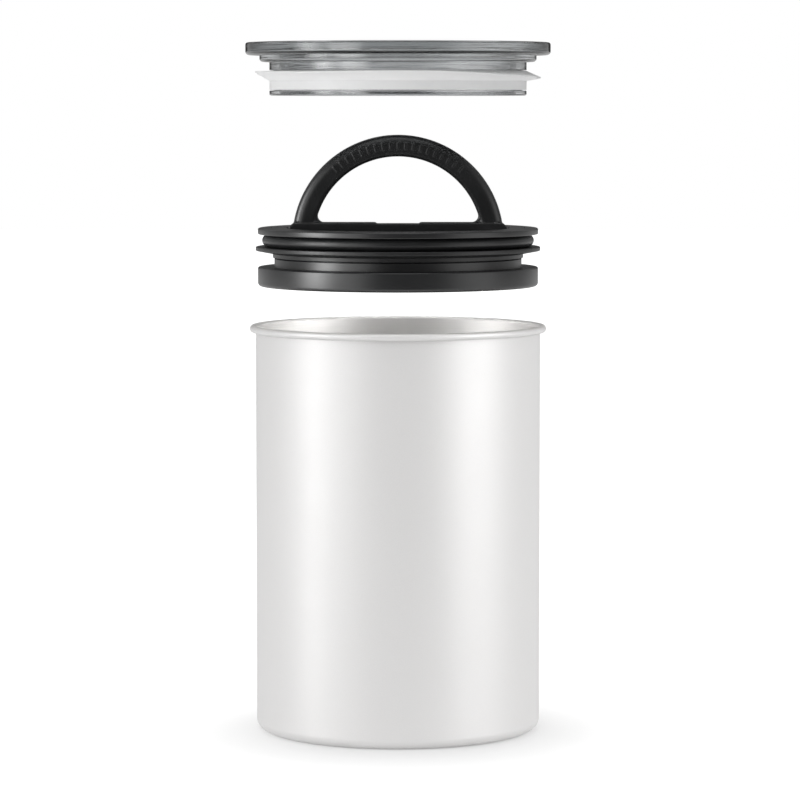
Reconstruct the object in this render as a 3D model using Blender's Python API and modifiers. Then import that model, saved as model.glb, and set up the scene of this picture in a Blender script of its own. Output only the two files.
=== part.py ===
"""Coffee canister in three groups, standing apart as on a product table: a coated steel canister,
a black inner lid that is pushed down on the coffee, with a bail handle that works its air valve,
and a smoky clear outer lid with a silicone gasket.

Metres, +Z up. The origin is the centre of the canister's underside. The handle's arch lies in the
XZ plane. Heights of each lid's pieces are measured from that lid's own underside.
"""

import math

import bmesh
import bpy
from mathutils import Matrix, Vector

# Shared values
gap = 0.0003  # between touching pieces
merge_distance = 0.00002
overrun = 0.004  # how far a cutter runs past what it cuts
ring_steps = 48  # sides of the large turned pieces
small_steps = 24  # sides of the valve's turned pieces
edge_steps = 3  # segments of a rounded edge
sharp_angle = math.radians(30)

# Canister, a drawn steel can with a rolled rim
body_radius = 0.0605
wall = 0.0005
canister_height = 0.1728
base_corner = 0.0045
rim_roll_radius = 0.00153
rim_roll_sweep = math.radians(290)
rim_roll_steps = 12
base_corner_steps = 4
bore_radius = body_radius - wall
rim_radius = bore_radius + 2 * rim_roll_radius

# Clear air under each lid, as they stand apart
inner_lid_stand = 0.0166  # over the canister's rim
outer_lid_stand = 0.0166  # over the handle

# Outer lid, a clear moulding. Heights are from its flange's underside
flange_overhang = 0.0015  # past the canister's rim
flange_thickness = 0.0053
flange_edge = 0.0011
spigot_clearance = 0.0014
spigot_depth = 0.00285
spigot_edge = 0.0007
skirt_clearance = 0.0056
skirt_wall = 0.0040
skirt_shoulder = 0.00355  # from the spigot down to the gasket's groove
skirt_lip = 0.0021  # under the groove
top_thickness = 0.0030
groove_height = 0.0086
groove_depth = 0.00175
flange_radius = rim_radius + flange_overhang
spigot_radius = bore_radius - spigot_clearance
skirt_radius = bore_radius - skirt_clearance
groove_top = spigot_depth + skirt_shoulder
groove_bottom = groove_top + groove_height
skirt_depth = groove_bottom + skirt_lip

# Both silicone fins
fin_press = 0.0004  # how far a fin stands past the canister's bore
gasket_fin_tip = 0.0006
gasket_fin_root = 0.0042  # height of the fin where it leaves the band
fin_radius = bore_radius + fin_press

# Inner lid's base moulding. Heights of the inner lid are from its underside
lid_clearance = 0.0005
base_flange_height = 0.0081
base_flange_edge = 0.0015
base_flange_top_edge = 0.0005
neck_height = 0.0036
neck_inset = 0.0070  # of the neck from the flange's edge
neck_wall = 0.0015
base_plate = 0.0025
vent_radius = 0.0045
valve_seat_width = 0.0020
valve_seat_rise = 0.0010
lid_radius = bore_radius - lid_clearance
neck_radius = lid_radius - neck_inset
seal_bore = neck_radius - neck_wall
hub_radius = seal_bore - gap
neck_top = base_flange_height + neck_height
valve_seat_top = base_plate + valve_seat_rise

# Inner lid's seals, stacked on the neck
wiper_band_wall = 0.0022
wiper_band_height = 0.0025
wiper_fin_height = 0.0029
wiper_fin_tip = 0.0017
bead_clearance = 0.0025
bead_round = 0.0019
bead_web = 0.0035  # wall of the web behind the bead
bead_height = 0.0043
bead_start = 125  # degrees, where the bead leaves its web
bead_steps = 7
wiper_band_top = neck_top + wiper_band_height
wiper_top = wiper_band_top + wiper_fin_height
bead_radius = bore_radius - bead_clearance

# Inner lid's upper moulding, a deck round a dish, on a hub that holds the seals
deck_thickness = 0.0026
deck_edge = 0.0007
hub_wall = 0.0037
dish_floor_thickness = 0.0020
dish_corner = 0.0010
guide_wall = 0.0020
guide_ledge = 0.0012
vent_hole_radius = 0.0015
vent_hole_offset = 0.0043  # from the valve guide to the vent holes' centres
vent_hole_count = 4
deck_underside = wiper_top + gap + bead_height + gap
deck_top = deck_underside + deck_thickness
dish_radius = hub_radius - hub_wall

# Annular snap that holds the two inner lid mouldings together
snap_lift = 0.0032  # over the base's plate
snap_height = 0.0007
snap_flat = 0.0006
snap_slope = 0.0006
snap_centre = base_plate + snap_lift

# Bail handle. Heights are from its pivot's axis
pivot_drop = 0.0038  # below the deck's top
arch_clearance = 0.0021
arch_width = 0.0090
arch_centre_drop = 0.0018
arch_inset = 0.0003  # of the arch's faces from the bar's
arch_round = 0.0018
arch_foot = 0.0010  # where the arch ends inside the bar
bar_clearance = 0.0007
bar_radius = 0.0035
bar_top = 0.0062
bar_edge = 0.0008
foot_fillet = 0.0026
heel_run = 0.0023  # the slope at each end of the bar, outside the arch
heel_rise = 0.0018
fillet_inset = 0.0009  # of a fillet's faces from the arch's
notch_length = 0.0180
notch_depth = 0.0006
pin_radius = 0.0020
cradle_wall = 0.0008  # between a pin's cradle and the hub's outside
bar_round_steps = 12
pin_steps = 16
fillet_steps = 5
pivot_height = deck_top - pivot_drop
arch_outer_radius = dish_radius - arch_clearance
arch_inner_radius = arch_outer_radius - arch_width
arch_depth = 2 * (bar_radius - arch_inset)
bar_reach = dish_radius - bar_clearance
pin_reach = hub_radius - cradle_wall - gap
cradle_radius = pin_radius + gap
dish_floor_top = pivot_height - bar_radius - gap

# Cam under the handle's bar, and the guide that it dips into
valve_travel = 0.0020
handle_fold = math.radians(90)
cam_width = 0.0056
cam_clearance = 0.0008
cam_core_inset = 0.0002
cam_steps = 8
cam_dip = math.sqrt((bar_radius + valve_travel) ** 2 - (bar_radius + gap) ** 2)
guide_bore = math.hypot(cam_dip, cam_width / 2) + cam_clearance

# Caps over the pivot pins
cap_length = 0.0064
cap_width = 0.0074
cap_thickness = 0.0010
cap_tongue_width = 0.0040
cap_floor = deck_top - cap_thickness - gap

# Valve stem, disc and spring
piston_thickness = 0.0016
stem_radius = 0.0020
stem_neck_radius = 0.0015
stem_barb_rise = 0.0002
stem_barb_height = 0.0012
stem_tip_radius = 0.0010
disc_overlap = 0.0015  # past the valve's seat
disc_thickness = 0.0012
disc_edge = 0.0003
disc_clearance = 0.0005  # under the guide
spring_wire = 0.0003
spring_turns = 4
points_a_turn = 12
piston_top = pivot_height - bar_radius - gap
piston_radius = guide_bore - gap
piston_underside = piston_top - piston_thickness
seat_radius = vent_radius + valve_seat_width
disc_radius = seat_radius + disc_overlap
disc_underside = valve_seat_top + gap + valve_travel
disc_top = disc_underside + disc_thickness
guide_foot = disc_top + disc_clearance
spring_radius = (stem_radius + guide_bore) / 2

# Places of the two lids
inner_lid_underside = canister_height + inner_lid_stand
handle_top = inner_lid_underside + pivot_height - arch_centre_drop + arch_outer_radius
outer_lid_flange_underside = handle_top + outer_lid_stand + skirt_depth


def clear_scene():
    for old in list(bpy.data.objects):
        bpy.data.objects.remove(old)


def new_collection(name):
    collection = bpy.data.collections.new(name)
    bpy.context.scene.collection.children.link(collection)
    return collection


def new_material(name, colour, roughness, metallic=0.0, transmission=0.0):
    material = bpy.data.materials.new(name)
    material.use_nodes = True
    shader = material.node_tree.nodes["Principled BSDF"]
    shader.inputs["Base Color"].default_value = (*colour, 1.0)
    shader.inputs["Roughness"].default_value = roughness
    shader.inputs["Metallic"].default_value = metallic
    shader.inputs["Transmission Weight"].default_value = transmission
    material.diffuse_color = (*colour, 1.0)
    return material


def new_empty(name, location, parent=None):
    empty = bpy.data.objects.new(name, None)
    empty.location = location
    empty.parent = parent
    parts.objects.link(empty)
    return empty


def place(obj, parent, material=None, cutter=False):
    """Links an object, parents it and gives it its material, or marks it as a hidden cutter."""
    obj.parent = parent
    if cutter:
        cutters.objects.link(obj)
        obj.hide_render = True
        obj.display_type = "WIRE"
    else:
        parts.objects.link(obj)
        obj.data.materials.append(material)
    return obj


def arc(centre, radius, start, end, steps):
    """Points of an arc in a profile's plane, from the angle start to the angle end, in degrees."""
    angles = [math.radians(start + (end - start) * i / steps) for i in range(steps + 1)]
    return [(centre[0] + radius * math.cos(a), centre[1] + radius * math.sin(a)) for a in angles]


def evaluated_mesh(obj):
    """The mesh of an object as its modifiers, or its curve's settings, leave it."""
    depsgraph = bpy.context.evaluated_depsgraph_get()
    mesh = bpy.data.meshes.new_from_object(obj.evaluated_get(depsgraph))
    mesh.name = obj.name
    return mesh


def shade_round(mesh):
    mesh.shade_smooth()
    mesh.set_sharp_from_angle(angle=sharp_angle)


def turned(name, profile, closed, steps, parent, material=None, cutter=False):
    """A profile of (radius, height) points, turned round Z with a Screw modifier."""
    mesh = bpy.data.meshes.new(name)
    count = len(profile)
    edges = [(i, i + 1) for i in range(count - 1)] + ([(count - 1, 0)] if closed else [])
    mesh.from_pydata([(r, 0, z) for r, z in profile], edges, [])
    obj = place(bpy.data.objects.new(name, mesh), parent, material, cutter)
    screw = obj.modifiers.new("turn", "SCREW")
    screw.axis = "Z"
    screw.angle = math.tau
    screw.steps = screw.render_steps = steps
    screw.use_merge_vertices = True
    screw.merge_threshold = merge_distance
    solid = evaluated_mesh(obj)
    obj.modifiers.clear()
    obj.data = solid
    shade_round(solid)
    return obj


def plate(name, outline, thickness, facing, parent, material=None, cutter=False):
    """A flat outline with a thickness. Facing X takes (y, z) points, and facing Y takes (x, z)."""
    curve = bpy.data.curves.new(name, "CURVE")
    curve.dimensions = "2D"
    curve.fill_mode = "BOTH"
    curve.extrude = thickness / 2
    spline = curve.splines.new("POLY")
    spline.points.add(len(outline) - 1)
    for point, (u, v) in zip(spline.points, outline):
        point.co = (u, v, 0, 1)
    spline.use_cyclic_u = True
    flat = bpy.data.objects.new(name, curve)
    cutters.objects.link(flat)
    mesh = evaluated_mesh(flat)
    bpy.data.objects.remove(flat)
    upright = {
        "X": Matrix(((0, 0, 1), (1, 0, 0), (0, 1, 0))),
        "Y": Matrix(((1, 0, 0), (0, 0, -1), (0, 1, 0))),
    }
    mesh.transform(upright[facing].to_4x4())
    shape = bmesh.new()
    shape.from_mesh(mesh)
    bmesh.ops.remove_doubles(shape, verts=shape.verts, dist=merge_distance)
    bmesh.ops.recalc_face_normals(shape, faces=shape.faces)
    shape.to_mesh(mesh)
    shape.free()
    mesh.materials.clear()
    shade_round(mesh)
    return place(bpy.data.objects.new(name, mesh), parent, material, cutter)


def block(name, low, high, parent, material=None, cutter=False):
    """A box between two corners, from a cube primitive."""
    low, high = Vector(low), Vector(high)
    mesh = bpy.data.meshes.new(name)
    shape = bmesh.new()
    bmesh.ops.create_cube(shape, size=1.0)
    bmesh.ops.scale(shape, verts=shape.verts, vec=high - low)
    shape.to_mesh(mesh)
    shape.free()
    obj = place(bpy.data.objects.new(name, mesh), parent, material, cutter)
    obj.location = (low + high) / 2
    return obj


def rod(name, radius, length, steps, along, parent):
    """A hidden round bar along X or Z, from a cone primitive with equal ends."""
    mesh = bpy.data.meshes.new(name)
    shape = bmesh.new()
    bmesh.ops.create_cone(
        shape, cap_ends=True, segments=steps, radius1=radius, radius2=radius, depth=length
    )
    if along == "X":
        bmesh.ops.rotate(shape, verts=shape.verts, matrix=Matrix.Rotation(math.radians(90), 3, "Y"))
    shape.to_mesh(mesh)
    shape.free()
    return place(bpy.data.objects.new(name, mesh), parent, cutter=True)


def combine(obj, tool, operation):
    boolean = obj.modifiers.new(f"{operation.lower()} {tool.name}", "BOOLEAN")
    boolean.operation = operation
    boolean.solver = "EXACT"
    boolean.object = tool


# Canister
def rolled_rim(roll_radius):
    """One face of the rim's sheet, from the wall up, out, down and back in under."""
    centre = (bore_radius + rim_roll_radius, canister_height - rim_roll_radius)
    return arc(centre, roll_radius, 180, 180 - math.degrees(rim_roll_sweep), rim_roll_steps)


def make_canister(parent):
    inner_corner = arc(
        (body_radius - base_corner, base_corner), base_corner - wall, -90, 0, base_corner_steps
    )
    outer_corner = arc((body_radius - base_corner, base_corner), base_corner, 0, -90, base_corner_steps)
    inside = [(0, wall)] + inner_corner + rolled_rim(rim_roll_radius)
    outside = rolled_rim(rim_roll_radius - wall)[::-1] + outer_corner + [(0, 0)]
    return turned("canister_shell", inside + outside, False, ring_steps, parent, coated_steel)


# Outer lid
def make_outer_lid(parent):
    top = flange_thickness
    upper_edge = arc((flange_radius - flange_edge, top - flange_edge), flange_edge, 90, 0, edge_steps)
    lower_edge = arc((flange_radius - flange_edge, flange_edge), flange_edge, 0, -90, edge_steps)
    spigot = arc(
        (spigot_radius - spigot_edge, spigot_edge - spigot_depth), spigot_edge, 0, -90, edge_steps
    )
    groove_radius = skirt_radius - groove_depth
    profile = [(0, top)] + upper_edge + lower_edge + [(spigot_radius, 0)] + spigot
    profile += [
        (skirt_radius, -spigot_depth),
        (skirt_radius, -groove_top),
        (groove_radius, -groove_top),
        (groove_radius, -groove_bottom),
        (skirt_radius, -groove_bottom),
        (skirt_radius, -skirt_depth),
        (skirt_radius - skirt_wall, -skirt_depth),
        (skirt_radius - skirt_wall, top - top_thickness),
        (0, top - top_thickness),
    ]
    return turned("outer_lid_shell", profile, False, ring_steps, parent, smoky_clear)


def make_outer_gasket(parent):
    inner = skirt_radius - groove_depth + gap
    upper, lower = -groove_top - gap, -groove_bottom + gap
    profile = [
        (inner, upper),
        (skirt_radius, upper),
        (fin_radius, upper - gap),
        (fin_radius, upper - gap - gasket_fin_tip),
        (skirt_radius, upper - gasket_fin_root),
        (skirt_radius, lower),
        (inner, lower),
    ]
    return turned("outer_lid_gasket", profile, True, ring_steps, parent, white_silicone)


# Inner lid
def snap(radius, reach):
    """The snap's outline going down a wall at radius, grown by reach up and down."""
    half = snap_flat / 2 + snap_slope
    return [
        (radius, snap_centre + half + reach),
        (radius + snap_height, snap_centre + snap_flat / 2 + reach),
        (radius + snap_height, snap_centre - snap_flat / 2 - reach),
        (radius, snap_centre - half - reach),
    ]


def make_inner_top(parent):
    edge_centre = lid_radius - deck_edge
    rim_edge = arc((edge_centre, deck_top - deck_edge), deck_edge, 90, 0, edge_steps)
    under_edge = arc((edge_centre, deck_underside + deck_edge), deck_edge, 0, -90, edge_steps)
    corner_centre = (dish_radius - dish_corner, dish_floor_top + dish_corner)
    dish_edge = arc(corner_centre, dish_corner, -90, 0, edge_steps)
    floor_underside = dish_floor_top - dish_floor_thickness
    guide_outside = guide_bore + guide_wall
    profile = [(guide_bore, dish_floor_top)] + dish_edge + [(dish_radius, deck_top)]
    profile += rim_edge + under_edge + [(hub_radius, deck_underside)] + snap(hub_radius, 0)
    profile += [
        (hub_radius, base_plate + gap),
        (dish_radius, base_plate + gap),
        (dish_radius, floor_underside),
        (guide_outside, floor_underside),
        (guide_outside, guide_foot),
        (stem_radius + gap, guide_foot),
        (stem_radius + gap, guide_foot + guide_ledge),
        (guide_bore, guide_foot + guide_ledge),
    ]
    lid = turned("inner_lid_top", profile, True, ring_steps, parent, black_plastic)
    for side, name in ((-1, "left"), (1, "right")):
        combine(lid, cradle_cutter(name, side, parent), "DIFFERENCE")
        combine(lid, cap_recess_cutter(name, side, parent), "DIFFERENCE")
    for i in range(vent_hole_count):
        combine(lid, vent_hole_cutter(i, parent), "DIFFERENCE")
    return lid


def vent_hole_cutter(i, parent):
    """One of a ring of holes through the dish's floor, round the valve's guide."""
    length = dish_floor_thickness + overrun
    hole = rod(f"vent_hole_{i + 1}", vent_hole_radius, length, pin_steps, "Z", parent)
    angle = math.tau * (i + 0.5) / vent_hole_count
    reach = guide_bore + guide_wall + vent_hole_offset
    middle = dish_floor_top - dish_floor_thickness / 2
    hole.location = (reach * math.cos(angle), reach * math.sin(angle), middle)
    return hole


def cradle_cutter(name, side, parent):
    """A slot open at the top, with a round bottom that the handle's pin turns in."""
    outline = arc((0, pivot_height), cradle_radius, -180, 0, pin_steps // 2)
    outline += [(cradle_radius, deck_top + overrun), (-cradle_radius, deck_top + overrun)]
    low, high = dish_radius - overrun, pin_reach + gap
    slot = plate(f"cradle_{name}", outline, high - low, "X", parent, cutter=True)
    slot.location.x = side * (low + high) / 2
    return slot


def cap_recess_cutter(name, side, parent):
    low, high = dish_radius - overrun, dish_radius + gap + cap_length + gap
    reach = sorted((side * low, side * high))
    half = cap_width / 2 + gap
    return block(
        f"cap_recess_{name}",
        (reach[0], -half, cap_floor),
        (reach[1], half, deck_top + overrun),
        parent,
        cutter=True,
    )


def make_pivot_cap(name, side, parent):
    low = dish_radius + gap
    high = low + cap_length
    reach = sorted((side * low, side * high))
    tongue_reach = sorted((side * low, side * pin_reach))
    cap = block(
        f"pivot_cap_{name}",
        (reach[0], -cap_width / 2, deck_top - cap_thickness),
        (reach[1], cap_width / 2, deck_top),
        parent,
        black_plastic,
    )
    tongue = block(
        f"cap_tongue_{name}",
        (tongue_reach[0], -cap_tongue_width / 2, pivot_height + cradle_radius),
        (tongue_reach[1], cap_tongue_width / 2, deck_top - cap_thickness / 2),
        parent,
        cutter=True,
    )
    combine(cap, tongue, "UNION")
    return cap


def make_inner_base(parent):
    lower_edge = arc(
        (lid_radius - base_flange_edge, base_flange_edge), base_flange_edge, 0, -90, edge_steps
    )
    profile = [
        (vent_radius, valve_seat_top),
        (seat_radius, valve_seat_top),
        (seat_radius, base_plate),
        (seal_bore, base_plate),
    ]
    profile += snap(seal_bore, gap)[::-1]
    profile += [
        (seal_bore, neck_top),
        (neck_radius, neck_top),
        (neck_radius, base_flange_height),
        (lid_radius - base_flange_top_edge, base_flange_height),
        (lid_radius, base_flange_height - base_flange_top_edge),
    ]
    profile += lower_edge + [(vent_radius, 0)]
    return turned("inner_lid_base", profile, True, ring_steps, parent, black_plastic)


def make_wiper_seal(parent):
    lower = neck_top + gap
    band_radius = seal_bore + wiper_band_wall
    profile = [
        (seal_bore, wiper_top),
        (fin_radius, wiper_top),
        (fin_radius, wiper_top - wiper_fin_tip),
        (band_radius, wiper_band_top),
        (band_radius, lower),
        (seal_bore, lower),
    ]
    return turned("wiper_seal", profile, True, ring_steps, parent, black_silicone)


def make_bead_seal(parent):
    lower, upper = wiper_top + gap, deck_underside - gap
    middle = lower + bead_round
    rounding = arc((bead_radius - bead_round, middle), bead_round, bead_start, -90, bead_steps)
    profile = [(seal_bore, upper), (seal_bore + bead_web, upper)] + rounding + [(seal_bore, lower)]
    return turned("bead_seal", profile, True, ring_steps, parent, black_silicone)


# Handle. Its pieces are placed from the pivot's axis
def bar_outline():
    top_front = arc((bar_radius - bar_edge, bar_top - bar_edge), bar_edge, 0, 90, edge_steps)
    top_back = arc((bar_edge - bar_radius, bar_top - bar_edge), bar_edge, 90, 180, edge_steps)
    underside = arc((0, 0), bar_radius, -180, 0, bar_round_steps)
    return underside + top_front + top_back


def arch_section():
    """The arch's section, a rounded rectangle, as (distance from the arch's centre, depth)."""
    low, high = arch_inner_radius + arch_round, arch_outer_radius - arch_round
    half = arch_depth / 2 - arch_round
    corners = ((high, half, 90), (high, -half, 0), (low, -half, -90), (low, half, -180))
    return [p for r, y, start in corners for p in arc((r, y), arch_round, start, start - 90, edge_steps)]


def make_arch(parent):
    """A whole ring turned from the section and cut off inside the bar."""
    ring = turned("arch_ring", arch_section(), True, ring_steps, parent, cutter=True)
    ring.rotation_euler.x = math.radians(90)
    ring.location.z = -arch_centre_drop
    reach = arch_outer_radius + overrun
    low, high = (-reach, -reach, -reach - overrun), (reach, reach, arch_foot)
    below = block("arch_cut", low, high, parent, cutter=True)
    combine(ring, below, "DIFFERENCE")
    return ring


def foot_outline(side):
    """The fillet between the bar's top and a leg's inner side, run a little way into both."""
    corner_z = bar_top + foot_fillet
    rise = corner_z + arch_centre_drop
    corner_x = math.sqrt((arch_inner_radius - foot_fillet) ** 2 - rise**2)
    leg_angle = math.degrees(math.atan2(rise, corner_x))
    rounding = arc((corner_x, corner_z), foot_fillet, -90, leg_angle, fillet_steps)
    leg_middle = (arch_inner_radius + arch_outer_radius) / 2
    outline = rounding + [(leg_middle, rounding[-1][1]), (leg_middle, bar_top / 2), (corner_x, bar_top / 2)]
    return [(side * x, z) for x, z in outline]


def heel_outline(side):
    """What is cut off the bar's end to leave a slope from the arch's outer side."""
    past = bar_reach + overrun
    drop = heel_rise * (heel_run + overrun) / heel_run
    start = bar_reach - heel_run
    above = bar_top + overrun
    outline = [(start, bar_top), (past, bar_top - drop), (past, above), (start, above)]
    return [(side * x, z) for x, z in outline]


def cam_outline():
    """A cam whose flat follower sinks by the valve's travel, at a steady rate, as the handle folds."""
    rate = valve_travel / handle_fold
    lift = []
    for i in range(cam_steps + 1):
        turn = handle_fold * i / cam_steps
        height = bar_radius + rate * turn
        lift.append(
            (
                height * math.sin(turn) + rate * math.cos(turn),
                rate * math.sin(turn) - height * math.cos(turn),
            )
        )
    return lift + arc((0, 0), bar_radius - cam_core_inset, 90, 270, cam_steps)


def make_handle(parent):
    handle = plate("handle", bar_outline(), 2 * bar_reach, "X", parent, black_plastic)
    foot_depth = arch_depth - 2 * fillet_inset
    heel_depth = 2 * (bar_radius + overrun)
    for side, name in ((-1, "left"), (1, "right")):
        heel = plate(f"heel_{name}", heel_outline(side), heel_depth, "Y", parent, cutter=True)
        combine(handle, heel, "DIFFERENCE")
        foot = plate(f"foot_{name}", foot_outline(side), foot_depth, "Y", parent, cutter=True)
        combine(handle, foot, "UNION")
    combine(handle, make_arch(parent), "UNION")
    combine(handle, rod("pins", pin_radius, 2 * pin_reach, pin_steps, "X", parent), "UNION")
    combine(handle, plate("cam", cam_outline(), cam_width, "X", parent, cutter=True), "UNION")
    half = notch_length / 2
    notch = block(
        "notch",
        (-half, -bar_radius - overrun, bar_top - notch_depth),
        (half, bar_radius + overrun, bar_top + overrun),
        parent,
        cutter=True,
    )
    combine(handle, notch, "DIFFERENCE")
    return handle


# Valve
def make_valve_stem(parent):
    barb_top = disc_underside - gap
    profile = [
        (0, piston_top),
        (piston_radius, piston_top),
        (piston_radius, piston_underside),
        (stem_radius, piston_underside),
        (stem_radius, disc_top + gap),
        (stem_neck_radius, disc_top + gap),
        (stem_neck_radius, barb_top),
        (stem_radius + stem_barb_rise, barb_top),
        (stem_tip_radius, barb_top - stem_barb_height),
        (0, barb_top - stem_barb_height),
    ]
    return turned("valve_stem", profile, False, small_steps, parent, natural_plastic)


def make_valve_disc(parent):
    bore = stem_neck_radius + gap
    profile = [
        (bore, disc_top),
        (disc_radius - disc_edge, disc_top),
        (disc_radius, disc_top - disc_edge),
        (disc_radius, disc_underside + disc_edge),
        (disc_radius - disc_edge, disc_underside),
        (bore, disc_underside),
    ]
    return turned("valve_disc", profile, True, small_steps, parent, clear_silicone)


def make_valve_spring(parent):
    low = guide_foot + guide_ledge + gap + spring_wire
    high = piston_underside - gap - spring_wire
    curve = bpy.data.curves.new("valve_spring", "CURVE")
    curve.dimensions = "3D"
    curve.bevel_depth = spring_wire
    curve.bevel_resolution = 1
    curve.use_fill_caps = True
    count = spring_turns * points_a_turn
    spline = curve.splines.new("POLY")
    spline.points.add(count)
    for i, point in enumerate(spline.points):
        angle = math.tau * i / points_a_turn
        height = low + (high - low) * i / count
        point.co = (spring_radius * math.cos(angle), spring_radius * math.sin(angle), height, 1)
    return place(bpy.data.objects.new("valve_spring", curve), parent, spring_steel)


clear_scene()
parts = new_collection("coffee_canister")
cutters = new_collection("cutters")

coated_steel = new_material("white_coated_steel", (0.86, 0.86, 0.85), 0.22, 0.15)
smoky_clear = new_material("smoky_clear_plastic", (0.34, 0.36, 0.37), 0.06, 0.0, 0.85)
white_silicone = new_material("white_silicone", (0.84, 0.85, 0.86), 0.45)
black_plastic = new_material("black_plastic", (0.028, 0.029, 0.031), 0.38)
black_silicone = new_material("black_silicone", (0.022, 0.023, 0.025), 0.55)
natural_plastic = new_material("natural_plastic", (0.72, 0.72, 0.69), 0.40)
clear_silicone = new_material("clear_silicone", (0.70, 0.71, 0.72), 0.40)
spring_steel = new_material("spring_steel", (0.55, 0.55, 0.54), 0.28, 1.0)

canister_base = new_empty("canister_base", (0, 0, 0))
outer_lid_lift = new_empty("outer_lid_lift", (0, 0, outer_lid_flange_underside), canister_base)
inner_lid_slide = new_empty("inner_lid_slide", (0, 0, inner_lid_underside), canister_base)
handle_pivot = new_empty("handle_pivot", (0, 0, pivot_height), inner_lid_slide)
valve_slide = new_empty("valve_slide", (0, 0, 0), inner_lid_slide)

make_canister(canister_base)
make_outer_lid(outer_lid_lift)
make_outer_gasket(outer_lid_lift)
make_inner_top(inner_lid_slide)
make_inner_base(inner_lid_slide)
make_wiper_seal(inner_lid_slide)
make_bead_seal(inner_lid_slide)
make_pivot_cap("left", -1, inner_lid_slide)
make_pivot_cap("right", 1, inner_lid_slide)
make_handle(handle_pivot)
make_valve_stem(valve_slide)
make_valve_disc(valve_slide)
make_valve_spring(inner_lid_slide)
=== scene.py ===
"""Dresses the coffee canister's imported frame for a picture: finely turned and moulded visible pieces
in place of the plain solids, procedural materials, a pale studio and the photograph's camera.

Metres, +Z up, in the frame's own axes. Each turned profile is a list of (radius, height, rounding).
"""

import math
from collections import namedtuple

import bmesh
import bpy
from mathutils import Matrix, Vector
from mathutils.bvhtree import BVHTree


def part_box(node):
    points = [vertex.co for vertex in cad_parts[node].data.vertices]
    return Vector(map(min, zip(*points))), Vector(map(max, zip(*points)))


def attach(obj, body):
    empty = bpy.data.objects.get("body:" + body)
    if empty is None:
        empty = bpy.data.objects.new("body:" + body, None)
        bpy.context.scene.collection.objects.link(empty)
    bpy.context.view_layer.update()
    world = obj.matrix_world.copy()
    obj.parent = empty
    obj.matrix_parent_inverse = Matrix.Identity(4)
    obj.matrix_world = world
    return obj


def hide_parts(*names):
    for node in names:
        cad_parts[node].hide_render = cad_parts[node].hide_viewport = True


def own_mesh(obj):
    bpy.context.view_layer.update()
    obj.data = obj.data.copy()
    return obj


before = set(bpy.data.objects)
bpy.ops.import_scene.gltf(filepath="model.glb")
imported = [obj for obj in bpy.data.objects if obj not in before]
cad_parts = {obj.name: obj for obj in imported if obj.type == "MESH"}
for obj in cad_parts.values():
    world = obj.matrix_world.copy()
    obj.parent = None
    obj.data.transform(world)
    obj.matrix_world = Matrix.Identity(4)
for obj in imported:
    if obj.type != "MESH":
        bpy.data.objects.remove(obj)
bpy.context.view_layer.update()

# Fineness
ring_steps = 256  # sides of the large turned pieces
arc_steps = 8  # segments of a quarter round
crown_steps = 6 * arc_steps  # segments of the arch's crown and of the bead
half_round_steps = 24  # segments of the bar's and the cradles' half rounds
cam_steps = 24  # segments of the cam's rise
hole_steps = 32  # sides of the pins and the vent holes
sharp_angle = math.radians(32)  # edges sharper than this stay crisp
gap = 0.0003  # between touching pieces
overrun = 0.004  # of a cutting tool past what it cuts

# Places that the frame's nodes give
_, canister_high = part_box("canister_shell")
outer_low, outer_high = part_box("outer_lid_shell")
base_low, base_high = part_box("inner_lid_base")
_, deck_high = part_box("inner_lid_top")
wiper_low, wiper_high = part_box("wiper_seal")
bead_low, bead_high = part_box("bead_seal")
gasket_low, gasket_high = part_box("outer_lid_gasket")
_, stem_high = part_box("valve_stem")
cap_low, cap_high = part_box("pivot_cap_right")
spring_low, spring_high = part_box("valve_spring")

# Canister
wall = 0.0005
body_radius = 0.0605
base_corner = 0.0045
rim_roll_radius = 0.00153
rim_roll_sweep = math.radians(290)
rim_roll_steps = 44
coat_edge_angle = math.radians(30)  # round the rim's roll, where the coat ends
floor_facing = 0.1  # the least upward lean of a face on the inside's floor and corner
bore_radius = body_radius - wall
coat_edge_radius = bore_radius + rim_roll_radius * (1 + math.cos(coat_edge_angle))

# Outer lid. Depths are from its flange's underside
flange_thickness = 0.0053
flange_edge = 0.0010
flange_under_edge = 0.0016
spigot_radius = 0.0586
spigot_depth = 0.00285
spigot_edge = 0.0014
skirt_radius = 0.0544
skirt_wall = 0.0040
groove_depth = 0.00175
groove_top = 0.0064
top_thickness = 0.0030
small_edge = 0.00025
lip_edge = 0.0008
flange_radius = outer_high.x
flange_underside = outer_high.z - flange_thickness

# Outer lid's gasket
gasket_fin_tip = 0.0005
gasket_fin_root = 0.0042
gasket_edge = 0.0002
gasket_droop = 0.0024  # of the fin's edge on the right
gasket_droop_half_angle = math.radians(75)
gasket_droop_power = 1.5  # how much the droop gathers in its middle
gasket_bend_power = 1.4  # how much the fin's bend gathers at its edge
gasket_wave = 0.00016
gasket_wave_count = 5

# Inner lid
lid_radius = 0.0595
deck_edge = 0.0007
deck_under_edge = 0.0004
deck_thickness = 0.0026
hub_radius = 0.0507
dish_radius = 0.0470
dish_floor_thickness = 0.0020
dish_corner = 0.0014
dish_lip = 0.0005
base_plate = 0.0025
guide_bore = 0.00567
guide_wall = 0.0020
guide_ledge = 0.0012
guide_drop = 0.0095  # from the dish's floor to the guide's foot
stem_clear_radius = 0.0023
vent_hole_radius = 0.0015
vent_hole_offset = 0.0043
vent_hole_count = 4
base_flange_height = 0.0081
base_flange_edge = 0.0015
base_flange_top_edge = 0.0006
neck_radius = 0.0525
seal_bore = 0.0510
vent_radius = 0.0045
seat_radius = 0.0065
seat_rise = 0.0010
wiper_band_radius = 0.0532
wiper_fin_height = 0.0029
wiper_fin_tip = 0.0016
wiper_edge = 0.0003
bead_swell = 0.0002
bead_sag = 0.0006
fin_radius = wiper_high.x
deck_top = deck_high.z

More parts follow.
